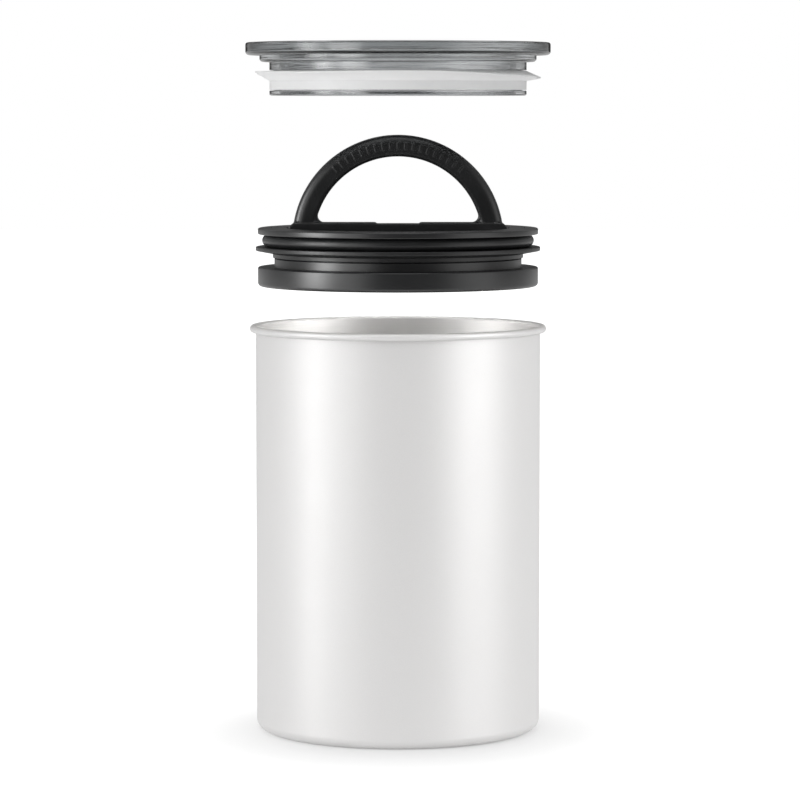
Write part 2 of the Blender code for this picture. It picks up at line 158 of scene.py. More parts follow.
# Handle, from its pivot's axis
pivot_height = 0.2102
arch_outer_radius = 0.0450
arch_inner_radius = 0.0358
arch_centre_drop = 0.0018
arch_depth = 0.0064
arch_crown = 0.0042
arch_inner_round = 0.0016
arch_steps = 640
arch_foot = 0.0010
bar_radius = 0.0035
bar_reach = 0.0463
bar_top = 0.0062
bar_edge = 0.0009
foot_fillet = 0.0026
heel_run = 0.0023
heel_rise = 0.0018
notch_length = 0.0180
notch_depth = 0.0006
notch_slope = 0.0008
pin_radius = 0.0020
pin_reach = 0.0496
cradle_radius = 0.0023
cam_width = 0.0056
valve_travel = 0.0020
handle_fold = math.radians(90)
arch_centre_z = pivot_height - arch_centre_drop
arch_middle_radius = (arch_inner_radius + arch_outer_radius) / 2

# Handle's one smooth skin
handle_voxel = 0.00027
handle_smoothing = 10  # passes
handle_smoothing_share = 0.5  # of the way to the neighbours' middle, in each pass
settled_from = 0.0105  # over the pivot, clear of the fillets at the arch's feet
settled_run = 0.0030

# Raised grip ribs on the arch's front face
rib_count = 19
rib_spread = math.radians(82)
rib_length = 0.0032
rib_width = 0.0009
rib_height = 0.00016
rib_softness = 0.00035
rib_face = arch_inner_round / 4 - arch_depth / 2  # ribs rise from what lies in front of this

# Pivot caps
cap_thickness = 0.0010
cap_corner = 0.0012
cap_edge = 0.0002
cap_edge_segments = 3

# Valve spring
spring_wire_radius = 0.0003
spring_turns = 5
spring_steps = 48  # along each turn

# Surfaces
noise_start = 0.3  # most of a noise lies between these two
noise_end = 0.7
peel_depth = 0.00002  # of the coat's bumps
grain_depth = 0.00003  # of the fine bumps on the other pieces
flow_depth = 0.00026  # of the flow lines in the smoky plastic
silicone_scatter = 0.004  # how far light runs in the silicone

# Smoky plastic
smoke_tint = (0.28, 0.31, 0.32, 1)
smoke_density = 11
smoky_edge_tone = 0.04
smoky_edge_start = 0.65  # of the way from a surface faced to one seen along it
smoky_edge_end = 0.9

# Camera, from the ellipses and widths in the photograph
camera_distance = 1.549
camera_height = 0.2681
camera_pitch = math.radians(4.707)
camera_side = 0.00085
camera_lens = 164.0
camera_reach = 50  # nothing farther is drawn
sensor_width = 36.0

# World
ambient = 0.55  # on matt surfaces
studio_tones = (  # for gloss, by a direction's part along Y, -1 at the camera's side
    (-1.0, 0.05),
    (-0.85, 0.12),
    (-0.3, 0.24),
    (0.5, 0.30),
    (0.9, 0.45),
    (0.95, 0.05),
    (0.985, 0.05),
    (0.995, 0.25),
)
backdrop_tone = 0.04  # of what shows through the smoky plastic, away from the backdrop
backdrop_start = 0.3  # along Y, where that tone begins to rise
backdrop_full = 0.85

# Floor
floor_level = -0.0001
floor_front = -0.6
floor_back = 6.0
floor_side = 3.0
floor_tone = 0.50
# Near the canister, most to its front, the glow drops, painting a shadow over the floor's real one.
painted_shadow_glow = 0.42
floor_glow_far = 1.0
painted_shadow_fade_start = 0.045
painted_shadow_fade_end = 0.15
painted_shadow_centre = (0, -0.02, 0)
floor_mirror_tone = 0.4
floor_mirror_roughness = 0.25
floor_reflected_glow = 0.30

# Lamps, aimed at the middle of the canister's mouth
mouth_reach = 0.045
mouth_shift = 0.036  # of the two side lamps, away from the camera
mouth_spread = math.radians(60)

# Each lamp lights all, or one piece or group alone. Azimuth 0 is the camera's side and 90 its right, in
# degrees. The fade is the share of each half of a lamp over which its light dies away to the edge.
Lamp = namedtuple("Lamp", "lit azimuth elevation distance width height radiance fade")
lamps = {
    "left_softbox": Lamp("all", -69, 6, 1.3, 0.80, 1.5, 5.75, 1.0),
    "left_fill": Lamp("all", -40, 6, 1.5, 0.90, 1.5, 1.1, 0.5),
    "right_softbox": Lamp("all", 64, 6, 1.3, 1.40, 1.5, 0.75, 0.7),
    "top_softbox": Lamp("all", 0, 62, 1.6, 1.4, 1.2, 1.3, 0.4),
    "canister_right": Lamp("canister", 63, 6, 1.3, 1.15, 1.5, 2.55, 0.6),
    "inner_lid_left": Lamp("inner_lid", -70, 6, 1.3, 1.00, 1.5, 3.4, 1.0),
    "outer_lid_left": Lamp("outer_lid", -42, 4, 1.3, 1.00, 1.2, 4.2, 0.9),
    "outer_lid_right": Lamp("outer_lid", 72, 4, 1.3, 2.60, 1.2, 2.0, 0.8),
    "gasket_bounce": Lamp("gasket", 0, -74, 1.3, 1.20, 0.8, 5.6, 0.5),
    "canister_back": Lamp("canister", 180, 12, 1.5, 0.70, 1.5, 3.0, 0.6),
    "mouth_left": Lamp("canister", -90, 12, mouth_reach, 0.04, 0.02, 1.42, 0.5),
    "mouth_right": Lamp("canister", 90, 12, mouth_reach, 0.04, 0.02, 1.42, 0.5),
    "mouth_middle": Lamp("canister", 0, 20, mouth_reach, 0.04, 0.01, 4.0, 0.5),
    "mouth_crown": Lamp("canister", 180, 24, 0.064, 0.05, 0.02, 6.5, 0.8),
}


def mesh_object(name, shape):
    """A new object in the scene from a bmesh, which is freed."""
    mesh = bpy.data.meshes.new(name)
    shape.to_mesh(mesh)
    shape.free()
    obj = bpy.data.objects.new(name, mesh)
    bpy.context.scene.collection.objects.link(obj)
    return obj


def solid_object(name, shape):
    """The same from a closed shape, with its faces turned outward."""
    bmesh.ops.recalc_face_normals(shape, faces=shape.faces)
    return mesh_object(name, shape)


def arc(centre, radius, start, end, steps):
    """Points of an arc in a profile's plane, from the angle start to the angle end, in degrees."""
    angles = [math.radians(start + (end - start) * i / steps) for i in range(steps + 1)]
    return [(centre[0] + radius * math.cos(a), centre[1] + radius * math.sin(a)) for a in angles]


def circle(centre, radius, steps):
    return arc(centre, radius, 0, 360, steps)[:-1]


def rounded(corners, closed=True):
    """A profile's (radius, height, rounding) corners as plain points, with each corner rounded."""
    points = []
    count = len(corners)
    for i, (u, v, rounding) in enumerate(corners):
        here = Vector((u, v))
        if rounding == 0 or (not closed and i in (0, count - 1)):
            points.append((u, v))
            continue
        before = (Vector(corners[i - 1][:2]) - here).normalized()
        after = (Vector(corners[(i + 1) % count][:2]) - here).normalized()
        opening = before.angle(after)
        centre = here + (before + after).normalized() * rounding / math.sin(opening / 2)
        start = here + before * rounding / math.tan(opening / 2)
        turn = (math.pi - opening) * (1 if before.cross(after) < 0 else -1)
        steps = max(2, round(abs(turn) / math.radians(90) * arc_steps))
        spoke = start - centre
        for k in range(steps + 1):
            spun = Matrix.Rotation(turn * k / steps, 2) @ spoke
            points.append(tuple(centre + spun))
    return points


def smooth_step(value):
    value = min(1, max(0, value))
    return value * value * (3 - 2 * value)


def round_shade(mesh):
    mesh.shade_smooth()
    mesh.set_sharp_from_angle(angle=sharp_angle)


def turned_ring(shape, radius, height):
    """A level ring of vertices round Z, or one vertex where the radius is 0."""
    if radius == 0:
        return [shape.verts.new((0, 0, height))]
    turns = [math.tau * k / ring_steps for k in range(ring_steps)]
    return [shape.verts.new((radius * math.cos(a), radius * math.sin(a), height)) for a in turns]


def turned(name, profile, closed=True):
    """A solid turned round Z from (radius, height) points. An open profile has its ends on the axis."""
    shape = bmesh.new()
    rings = [turned_ring(shape, radius, height) for radius, height in profile]
    pairs = list(zip(rings, rings[1:]))
    if closed:
        pairs.append((rings[-1], rings[0]))
    for upper, lower in pairs:
        for k in range(ring_steps):
            places = ((upper, k), (upper, k + 1), (lower, k + 1), (lower, k))
            corners = list(dict.fromkeys(ring[j % len(ring)] for ring, j in places))
            if len(corners) > 2:
                shape.faces.new(corners)
    piece = solid_object(name, shape)
    round_shade(piece.data)
    return piece


def swept(name, sections):
    """A solid through a row of sections, each a list of as many points, with closed ends."""
    shape = bmesh.new()
    rings = [[shape.verts.new(point) for point in section] for section in sections]
    for first, second in zip(rings, rings[1:]):
        for i in range(len(first)):
            shape.faces.new((first[i - 1], first[i], second[i], second[i - 1]))
    shape.faces.new(rings[0])
    shape.faces.new(rings[-1])
    return solid_object(name, shape)


def prism(name, outline, low, high, along):
    """An outline run along X, with (y, z) points, along Y, with (x, z) points, or along Z."""
    place = {
        "X": lambda u, v, w: (w, u, v),
        "Y": lambda u, v, w: (u, w, v),
        "Z": lambda u, v, w: (u, v, w),
    }[along]
    return swept(name, [[place(u, v, w) for u, v in outline] for w in (low, high)])


def apply_modifiers(obj):
    depsgraph = bpy.context.evaluated_depsgraph_get()
    mesh = bpy.data.meshes.new_from_object(obj.evaluated_get(depsgraph))
    obj.modifiers.clear()
    obj.data = mesh


def cut(obj, tools):
    """Cuts tools from obj and removes them."""
    for tool in tools:
        boolean = obj.modifiers.new("cut", "BOOLEAN")
        boolean.operation = "DIFFERENCE"
        boolean.solver = "EXACT"
        boolean.object = tool
        apply_modifiers(obj)
        bpy.data.objects.remove(tool)


def joined(name, pieces):
    """Several closed pieces as one mesh, each still closed."""
    shape = bmesh.new()
    for piece in pieces:
        shape.from_mesh(piece.data)
        bpy.data.objects.remove(piece)
    return mesh_object(name, shape)


# Canister
def rolled_rim(roll_radius):
    centre = (bore_radius + rim_roll_radius, canister_high.z - rim_roll_radius)
    end = 180 - math.degrees(rim_roll_sweep)
    return arc(centre, roll_radius, 180, end, rim_roll_steps)


def is_bare(face):
    """Whether a face lies on the canister's inside, or on its rim up to the coat's edge."""
    middle, normal = face.center, face.normal
    radius = math.hypot(middle.x, middle.y)
    faces_axis = normal.x * middle.x + normal.y * middle.y < 0
    on_inner_wall = faces_axis and radius < body_radius - wall / 2
    on_inner_floor = normal.z > floor_facing and middle.z < base_corner
    on_rim_crown = middle.z > canister_high.z - rim_roll_radius and radius < coat_edge_radius
    return on_inner_wall or on_inner_floor or on_rim_crown


def make_canister():
    """The can, with its coat as the first material and its bare steel as the second."""
    corner = (body_radius - base_corner, base_corner)
    inside = [(0, wall)] + arc(corner, base_corner - wall, -90, 0, 2 * arc_steps)
    roll = rolled_rim(rim_roll_radius)
    outside = rolled_rim(rim_roll_radius - wall)[::-1]
    outside += arc(corner, base_corner, 0, -90, 2 * arc_steps) + [(0, 0)]
    canister = turned("canister", inside + roll + outside, closed=False)
    for face in canister.data.polygons:
        face.material_index = 1 if is_bare(face) else 0
    return canister


# Outer lid
def make_outer_lid():
    top = outer_high.z
    under = flange_underside
    foot = outer_low.z
    groove_radius = skirt_radius - groove_depth
    groove_low = gasket_low.z - gap
    corners = [
        (0, top, 0),
        (flange_radius, top, flange_edge),
        (flange_radius, under, flange_under_edge),
        (spigot_radius, under, small_edge),
        (spigot_radius, under - spigot_depth, spigot_edge),
        (skirt_radius, under - spigot_depth, small_edge),
        (skirt_radius, under - groove_top, small_edge),
        (groove_radius, under - groove_top, small_edge),
        (groove_radius, groove_low, small_edge),
        (skirt_radius, groove_low, small_edge),
        (skirt_radius, foot, lip_edge),
        (skirt_radius - skirt_wall, foot, lip_edge),
        (skirt_radius - skirt_wall, top - top_thickness, small_edge),
        (0, top - top_thickness, 0),
    ]
    return turned("outer_lid", rounded(corners, closed=False), closed=False)


def fin_droop(angle):
    """How far the fin's edge hangs down: a wide lobe on the right, and small waves all round."""
    lobe = 0
    if abs(angle) < gasket_droop_half_angle:
        lobe = math.cos(angle / gasket_droop_half_angle * math.pi / 2)
    return gasket_droop * lobe**gasket_droop_power + gasket_wave * math.sin(gasket_wave_count * angle)


def make_outer_gasket():
    inner = skirt_radius - groove_depth + gap
    upper, lower = gasket_high.z, gasket_low.z
    corners = [
        (inner, upper, 0),
        (skirt_radius, upper, 0),
        (fin_radius, upper - gap, gasket_edge),
        (fin_radius, upper - gap - gasket_fin_tip, gasket_edge),
        (skirt_radius, upper - gasket_fin_root, gasket_edge),
        (skirt_radius, lower, gasket_edge),
        (inner, lower, gasket_edge),
    ]
    gasket = turned("outer_gasket", rounded(corners))
    for vertex in gasket.data.vertices:
        x, y, _ = vertex.co
        share = max(0, (math.hypot(x, y) - skirt_radius) / (fin_radius - skirt_radius))
        vertex.co.z -= fin_droop(math.atan2(y, x)) * share**gasket_bend_power
    return gasket


# Inner lid
def make_deck():
    floor_top = stem_high.z
    plate_top = base_low.z + base_plate + gap
    floor_under = floor_top - dish_floor_thickness
    guide_outside = guide_bore + guide_wall
    guide_foot = floor_top - guide_drop
    corners = [
        (guide_bore, floor_top, small_edge),
        (dish_radius, floor_top, dish_corner),
        (dish_radius, deck_top, dish_lip),
        (lid_radius, deck_top, deck_edge),
        (lid_radius, deck_top - deck_thickness, deck_under_edge),
        (hub_radius, deck_top - deck_thickness, small_edge),
        (hub_radius, plate_top, small_edge),
        (dish_radius, plate_top, small_edge),
        (dish_radius, floor_under, small_edge),
        (guide_outside, floor_under, small_edge),
        (guide_outside, guide_foot, small_edge),
        (stem_clear_radius, guide_foot, small_edge),
        (stem_clear_radius, guide_foot + guide_ledge, small_edge),
        (guide_bore, guide_foot + guide_ledge, small_edge),
    ]
    deck = turned("deck", rounded(corners))
    tools = []
    for side in (-1, 1):
        tools += [make_cradle_tool(side), make_recess_tool(side)]
    for i in range(vent_hole_count):
        angle = math.tau * (i + 0.5) / vent_hole_count
        reach = guide_outside + vent_hole_offset
        outline = circle((reach * math.cos(angle), reach * math.sin(angle)), vent_hole_radius, hole_steps)
        tools.append(prism("vent_tool", outline, floor_under - overrun, floor_top + overrun, "Z"))
    cut(deck, tools)
    round_shade(deck.data)
    return deck


def make_cradle_tool(side):
    outline = arc((0, pivot_height), cradle_radius, -180, 0, half_round_steps)
    outline += [(cradle_radius, deck_top + overrun), (-cradle_radius, deck_top + overrun)]
    low, high = sorted((side * (dish_radius - overrun), side * (pin_reach + gap)))
    return prism("cradle_tool", outline, low, high, "X")


def cap_outline(side, inner, outer, half_width, inner_rounding):
    """A pivot cap or its recess from above, with the larger corners on its outer end."""
    low, high = sorted((side * inner, side * outer))
    corners = [(low, -half_width), (high, -half_width), (high, half_width), (low, half_width)]
    return rounded([(u, v, cap_corner if u == side * outer else inner_rounding) for u, v in corners])


def make_recess_tool(side):
    outline = cap_outline(side, dish_radius - overrun, cap_high.x + gap, cap_high.y + gap, 0)
    return prism("recess_tool", outline, deck_top - cap_thickness - gap, deck_top + overrun, "Z")


def make_pivot_cap(side, name):
    outline = cap_outline(side, cap_low.x, cap_high.x, cap_high.y, cap_edge)
    cap = prism(name, outline, deck_top - cap_thickness, deck_top, "Z")
    bevel = cap.modifiers.new("edge", "BEVEL")
    bevel.width = cap_edge
    bevel.segments = cap_edge_segments
    bevel.limit_method = "ANGLE"
    apply_modifiers(cap)
    round_shade(cap.data)
    return cap


def make_base():
    low = base_low.z
    corners = [
        (vent_radius, low + base_plate + seat_rise, small_edge),
        (seat_radius, low + base_plate + seat_rise, small_edge),
        (seat_radius, low + base_plate, small_edge),
        (seal_bore, low + base_plate, small_edge),
        (seal_bore, base_high.z, small_edge),
        (neck_radius, base_high.z, small_edge),
        (neck_radius, low + base_flange_height, small_edge),
        (lid_radius, low + base_flange_height, base_flange_top_edge),
        (lid_radius, low, base_flange_edge),
        (vent_radius, low, small_edge),
    ]
    return turned("lid_base", rounded(corners))


def make_wiper():
    upper, lower = wiper_high.z - bead_sag + gap / 2, wiper_low.z
    corners = [
        (seal_bore, upper, 0),
        (fin_radius, upper, wiper_edge),
        (fin_radius, upper - wiper_fin_tip, wiper_edge),
        (wiper_band_radius, upper - wiper_fin_height, wiper_edge / 2),
        (wiper_band_radius, lower, wiper_edge),
        (seal_bore, lower, 0),
    ]
    return turned("wiper", rounded(corners))


def make_bead():
    upper, lower = bead_high.z + bead_swell, bead_low.z - bead_sag
    bead_round = (upper - lower) / 2
    centre = (bead_high.x + bead_swell - bead_round, lower + bead_round)
    face = arc(centre, bead_round, 90, -90, crown_steps)
    return turned("bead", [(seal_bore, upper)] + face + [(seal_bore, lower)])


# Handle
def arch_section():
    """The arch's (radius, y) section: a full crown outside and firmer inner corners."""
    half = arch_depth / 2
    crown = arc((0, 0), 1, 90, -90, crown_steps)
    outer = arch_outer_radius - arch_crown
    section = [(outer + arch_crown * r, half * y) for r, y in crown]
    corners = [
        (outer, -half, 0),
        (arch_inner_radius, -half, arch_inner_round),
        (arch_inner_radius, half, arch_inner_round),
        (outer, half, 0),
    ]
    return section + rounded(corners)[1:-1]


def make_arch():
    """The section swept over a little less than half a turn in the XZ plane."""
    foot_angle = math.asin((arch_foot + arch_centre_drop) / arch_outer_radius)
    section = arch_section()
    places = []
    for k in range(arch_steps + 1):
        angle = foot_angle + (math.pi - 2 * foot_angle) * k / arch_steps
        places.append([(r * math.cos(angle), y, arch_centre_z + r * math.sin(angle)) for r, y in section])
    return swept("arch", places)


def make_heel_tool(side, top, depth):
    """A wedge that slopes an end of the bar's top."""
    start, past = side * (bar_reach - heel_run), side * (bar_reach + overrun)
    drop = heel_rise * (heel_run + overrun) / heel_run
    heel = [(start, top), (past, top - drop), (past, top + overrun), (start, top + overrun)]
    return prism("heel_tool", heel, -depth, depth, "Y")


def make_notch_tool(top, depth):
    half = notch_length / 2
    notch = [
        (-half, top - notch_depth),
        (half, top - notch_depth),
        (half + notch_slope, top + gap),
        (half + notch_slope, top + overrun),
        (-half - notch_slope, top + overrun),
        (-half - notch_slope, top + gap),
    ]
    return prism("notch_tool", notch, -depth, depth, "Y")


def make_bar():
    top = pivot_height + bar_top
    rim = bar_radius - bar_edge
    outline = arc((0, pivot_height), bar_radius, -180, 0, half_round_steps)
    outline += arc((rim, top - bar_edge), bar_edge, 0, 90, arc_steps)
    outline += arc((-rim, top - bar_edge), bar_edge, 90, 180, arc_steps)
    bar = prism("bar", outline, -bar_reach, bar_reach, "X")
    depth = bar_radius + overrun
    tools = [make_heel_tool(side, top, depth) for side in (-1, 1)]
    cut(bar, tools + [make_notch_tool(top, depth)])
    return bar


def make_foot(side):
    """The fillet between the bar's top and a leg's inner side."""
    corner_z = bar_top + foot_fillet
    rise = corner_z + arch_centre_drop
    corner_x = math.sqrt((arch_inner_radius - foot_fillet) ** 2 - rise**2)
    leg_angle = math.degrees(math.atan2(rise, corner_x))
    outline = arc((corner_x, corner_z), foot_fillet, -90, leg_angle, 2 * arc_steps)
    outline += [(arch_middle_radius, outline[-1][1]), (arch_middle_radius, bar_top / 2)]
    outline += [(corner_x, bar_top / 2)]
    outline = [(side * x, pivot_height + z) for x, z in outline]
    half = (arch_depth - arch_inner_round) / 2
    return prism("foot", outline, -half, half, "Y")


def make_cam():
    """The bar's bulge that pushes the valve's stem down evenly while the handle folds."""
    rate = valve_travel / handle_fold
    outline = []
    for i in range(cam_steps + 1):
        turn = handle_fold * i / cam_steps
        height = bar_radius + rate * turn
        y = height * math.sin(turn) + rate * math.cos(turn)
        z = rate * math.sin(turn) - height * math.cos(turn)
        outline.append((y, pivot_height + z))
    outline += arc((0, pivot_height), bar_radius - gap, 90, 270, half_round_steps)
    return prism("cam", outline, -cam_width / 2, cam_width / 2, "X")


def make_pins():
    outline = circle((0, pivot_height), pin_radius, hole_steps)
    return prism("pins", outline, -pin_reach, pin_reach, "X")


def settle_on_arch(mesh, arch_shape):
    """Takes the voxels' fine steps off the arch, above its feet, by moving it onto its swept shape."""
    for vertex in mesh.vertices:
        share = smooth_step((vertex.co.z - pivot_height - settled_from) / settled_run)
        if share > 0:
            nearest = arch_shape.find_nearest(vertex.co)[0]
            vertex.co = vertex.co.lerp(nearest, share)


def rib_share(across, width):
    """How far a rib has risen at this distance from its middle: 1 on it, 0 beside it."""
    return smooth_step((width / 2 + rib_softness - across) / (2 * rib_softness))


def raise_ribs(mesh):
    """Lifts a row of short radial ribs out of the arch's front face."""
    pitch = rib_spread / (rib_count - 1)
    for vertex in mesh.vertices:
        x, y, z = vertex.co
        if y > rib_face or z < arch_centre_z:
            continue
        angle = math.atan2(x, z - arch_centre_z)
        step = round(angle / pitch)
        if abs(step) > rib_count // 2:
            continue
        across = abs(angle - step * pitch) * arch_middle_radius
        along = abs(math.hypot(x, z - arch_centre_z) - arch_middle_radius)
        vertex.co.y -= rib_height * rib_share(across, rib_width) * rib_share(along, rib_length)


def make_handle():
    """The handle's pieces as one skin, with the arch smoothed and its ribs raised."""
    arch = make_arch()
    faces = [face.vertices[:] for face in arch.data.polygons]
    arch_shape = BVHTree.FromPolygons([vertex.co for vertex in arch.data.vertices], faces)
    pieces = [arch, make_bar(), make_foot(-1), make_foot(1), make_cam(), make_pins()]
    handle = joined("bail_handle", pieces)
    remesh = handle.modifiers.new("union", "REMESH")
    remesh.mode = "VOXEL"
    remesh.voxel_size = handle_voxel
    remesh.adaptivity = 0
    remesh.use_smooth_shade = True
    smooth = handle.modifiers.new("soften", "SMOOTH")
    smooth.factor = handle_smoothing_share
    smooth.iterations = handle_smoothing
    apply_modifiers(handle)
    settle_on_arch(handle.data, arch_shape)
    raise_ribs(handle.data)
    handle.data.shade_smooth()
    return handle


# Valve spring
def make_spring():
    """A wire coil. Its turns lie closer together near both ends, as a wound spring's do."""
    low = spring_low.z + spring_wire_radius
    rise = spring_high.z - spring_wire_radius - low
    coil_radius = spring_high.x - spring_wire_radius
    count = spring_turns * spring_steps
    places = []
    for i in range(count + 1):
        turn = math.tau * i / spring_steps
        height = low + rise * smooth_step(i / count)
        section = circle((coil_radius, height), spring_wire_radius, 2 * arc_steps)
        places.append([(r * math.cos(turn), r * math.sin(turn), z) for r, z in section])
    spring = swept("spring_coil", places)
    round_shade(spring.data)
    return spring


# Shader nodes
def fill(tree, socket, value):
    """Gives a node's input a plain value or another node's output."""
    if isinstance(value, bpy.types.NodeSocket):
        tree.links.new(value, socket)
    else:
        socket.default_value = value


def add_node(tree, kind, inputs=None, **settings):
    """A new shader node with these settings, and then with these inputs, by name or place."""
    node = tree.nodes.new("ShaderNode" + kind)
    for name, value in settings.items():
        setattr(node, name, value)
    for key, value in (inputs or {}).items():
        fill(tree, node.inputs[key], value)
    return node


def mapped(tree, value, start=0, end=1, low=0, high=1, smooth=False):
    """low where the value is at start or under it, and high where it is at end or over it."""
    inputs = {"Value": value, "From Min": start, "From Max": end, "To Min": low, "To Max": high}
    curve = "SMOOTHSTEP" if smooth else "LINEAR"
    return add_node(tree, "MapRange", inputs, interpolation_type=curve).outputs["Result"]


def math_node(tree, operation, first, second):
    return add_node(tree, "Math", {0: first, 1: second}, operation=operation).outputs["Value"]


def mix_colours(tree, share, first, second):
    inputs = {"Factor": share, "A": first, "B": second}
    return add_node(tree, "Mix", inputs, data_type="RGBA").outputs["Result"]


def grey(tone):
    return (tone, tone, tone, 1)


# Materials
class Surface:
    """A material, with short calls for the nodes that these surfaces use."""

    def __init__(self, name):
        self.material = bpy.data.materials.new(name)
        self.material.use_nodes = True
        self.tree = self.material.node_tree
        self.shader = self.tree.nodes["Principled BSDF"]
        self.space = add_node(self.tree, "TexCoord").outputs["Object"]

    def set(self, **values):
        """Fills the shader's inputs. Each space in an input's name is written as an underscore."""
        for name, value in values.items():
            fill(self.tree, self.shader.inputs[name.replace("_", " ")], value)

    def noise(self, scale, detail=2, squeeze=None):
        """A noise in the part's space, made finer along X, Y and Z by a squeeze."""
        space = self.space
        if squeeze:
            inputs = {"Vector": space, "Scale": squeeze}
            space = add_node(self.tree, "Mapping", inputs).outputs["Vector"]
        inputs = {"Vector": space, "Scale": scale, "Detail": detail}
        return add_node(self.tree, "TexNoise", inputs).outputs["Fac"]

    def ranged(self, noise, low, high):
        """A number from low to high, over the middle of a noise's range."""
        return mapped(self.tree, noise, noise_start, noise_end, low, high)

    def tinted(self, noise, first, second):
        """A colour from first to second, by a noise."""
        return mix_colours(self.tree, self.ranged(noise, 0, 1), (*first, 1), (*second, 1))

    def bump(self, noise, strength, depth):
        inputs = {"Height": noise, "Strength": strength, "Distance": depth}
        self.set(Normal=add_node(self.tree, "Bump", inputs).outputs["Normal"])


def coated_steel():
    """White pearl coat: a faint fleck under a gloss with a little orange peel."""
    surface = Surface("white_pearl_coat")
    fleck = surface.noise(5200, detail=1)
    surface.set(Base_Color=surface.tinted(fleck, (0.855, 0.847, 0.842), (0.895, 0.887, 0.882)))
    surface.set(Roughness=surface.ranged(surface.noise(60), 0.46, 0.50))
    surface.set(Metallic=0.34, Coat_Weight=0.15, Coat_Roughness=0.25)
    surface.bump(surface.noise(900), strength=0.06, depth=peel_depth)
    return surface.material


def bare_steel():
    """Satin stainless steel. Its polishing rings spread each highlight up and down."""
    surface = Surface("bare_brushed_steel")
    rings = surface.noise(1, detail=4, squeeze=(14, 14, 5200))
    surface.set(Base_Color=surface.tinted(rings, (0.89, 0.878, 0.862), (0.95, 0.937, 0.922)))
    surface.set(Roughness=surface.ranged(rings, 0.50, 0.57))
    surface.set(Metallic=0.65, Anisotropic=0.3, Anisotropic_Rotation=0.25)
    tangent = add_node(surface.tree, "Tangent", direction_type="RADIAL", axis="Z")
    surface.set(Tangent=tangent.outputs["Tangent"])
    surface.bump(rings, strength=0.10, depth=grain_depth)
    return surface.material


def smoky_plastic():
    """Polished smoky plastic, darker where it is seen along its surface, with faint flow lines."""
    surface = Surface("smoky_clear_plastic")
    tint = surface.tinted(surface.noise(90, detail=3), (0.60, 0.61, 0.615), (0.65, 0.66, 0.665))
    facing = add_node(surface.tree, "LayerWeight", {"Blend": 0.5}).outputs["Facing"]
    edges = mapped(surface.tree, facing, smoky_edge_start, smoky_edge_end)
    surface.set(Base_Color=mix_colours(surface.tree, edges, tint, grey(smoky_edge_tone)))
    surface.set(Roughness=surface.ranged(surface.noise(700, detail=4), 0.03, 0.05))
    surface.set(Transmission_Weight=1, IOR=1.49)
    surface.bump(surface.noise(1, squeeze=(9, 9, 600)), strength=0.5, depth=flow_depth)
    smoke = add_node(surface.tree, "VolumeAbsorption", {"Color": smoke_tint, "Density": smoke_density})
    fill(surface.tree, surface.tree.nodes["Material Output"].inputs["Volume"], smoke.outputs["Volume"])
    return surface.material


def white_silicone():
    """Milky silicone, which light enters a little way."""
    surface = Surface("milky_silicone")
    cloud = surface.noise(160, detail=3)
    surface.set(Base_Color=surface.tinted(cloud, (0.93, 0.933, 0.937), (0.97, 0.971, 0.973)))
    surface.set(Roughness=surface.ranged(surface.noise(900), 0.38, 0.48))
    surface.set(Subsurface_Weight=0.8, Subsurface_Scale=silicone_scatter, Subsurface_Radius=(1, 1, 1))
    surface.set(IOR=1.41)
    surface.bump(surface.noise(1500), strength=0.08, depth=grain_depth)
    return surface.material


def black_plastic():
    """Satin black plastic with the fine grain of a spark-eroded mould."""
    surface = Surface("satin_black_plastic")
    cloud = surface.noise(120, detail=3)
    surface.set(Base_Color=surface.tinted(cloud, (0.010, 0.0105, 0.011), (0.014, 0.0147, 0.0155)))
    surface.set(Roughness=surface.ranged(surface.noise(1800, detail=3), 0.31, 0.345))
    surface.set(IOR=1.55, Specular_IOR_Level=0.75)
    surface.bump(surface.noise(3600), strength=0.06, depth=grain_depth)
    return surface.material


def black_silicone():
    surface = Surface("dull_black_silicone")
    cloud = surface.noise(140, detail=3)
    surface.set(Base_Color=surface.tinted(cloud, (0.009, 0.0095, 0.010), (0.013, 0.0137, 0.0144)))
    surface.set(Roughness=surface.ranged(surface.noise(1300, detail=3), 0.34, 0.44))
    surface.set(IOR=1.5, Specular_IOR_Level=0.7)
    surface.bump(surface.noise(2600, detail=3), strength=0.10, depth=grain_depth)
    return surface.material


def natural_plastic():
    surface = Surface("natural_plastic")
    cloud = surface.noise(260, detail=3)
    surface.set(Base_Color=surface.tinted(cloud, (0.68, 0.68, 0.65), (0.74, 0.74, 0.71)))
    surface.set(Roughness=surface.ranged(surface.noise(1500, detail=3), 0.36, 0.46))
    surface.bump(surface.noise(3000), strength=0.08, depth=grain_depth)
    return surface.material


def clear_silicone():
    surface = Surface("clear_silicone")
    cloud = surface.noise(260, detail=3)
    surface.set(Base_Color=surface.tinted(cloud, (0.66, 0.67, 0.68), (0.72, 0.73, 0.74)))
    surface.set(Roughness=surface.ranged(surface.noise(1500, detail=3), 0.34, 0.44))
    surface.set(Transmission_Weight=0.35, IOR=1.41)
    return surface.material


def spring_steel():
    surface = Surface("spring_steel")
    drawn = surface.noise(2400, detail=3)
    surface.set(Base_Color=surface.tinted(drawn, (0.50, 0.50, 0.49), (0.60, 0.60, 0.59)))
    surface.set(Roughness=surface.ranged(drawn, 0.24, 0.34))
    surface.set(Metallic=1)
    return surface.material


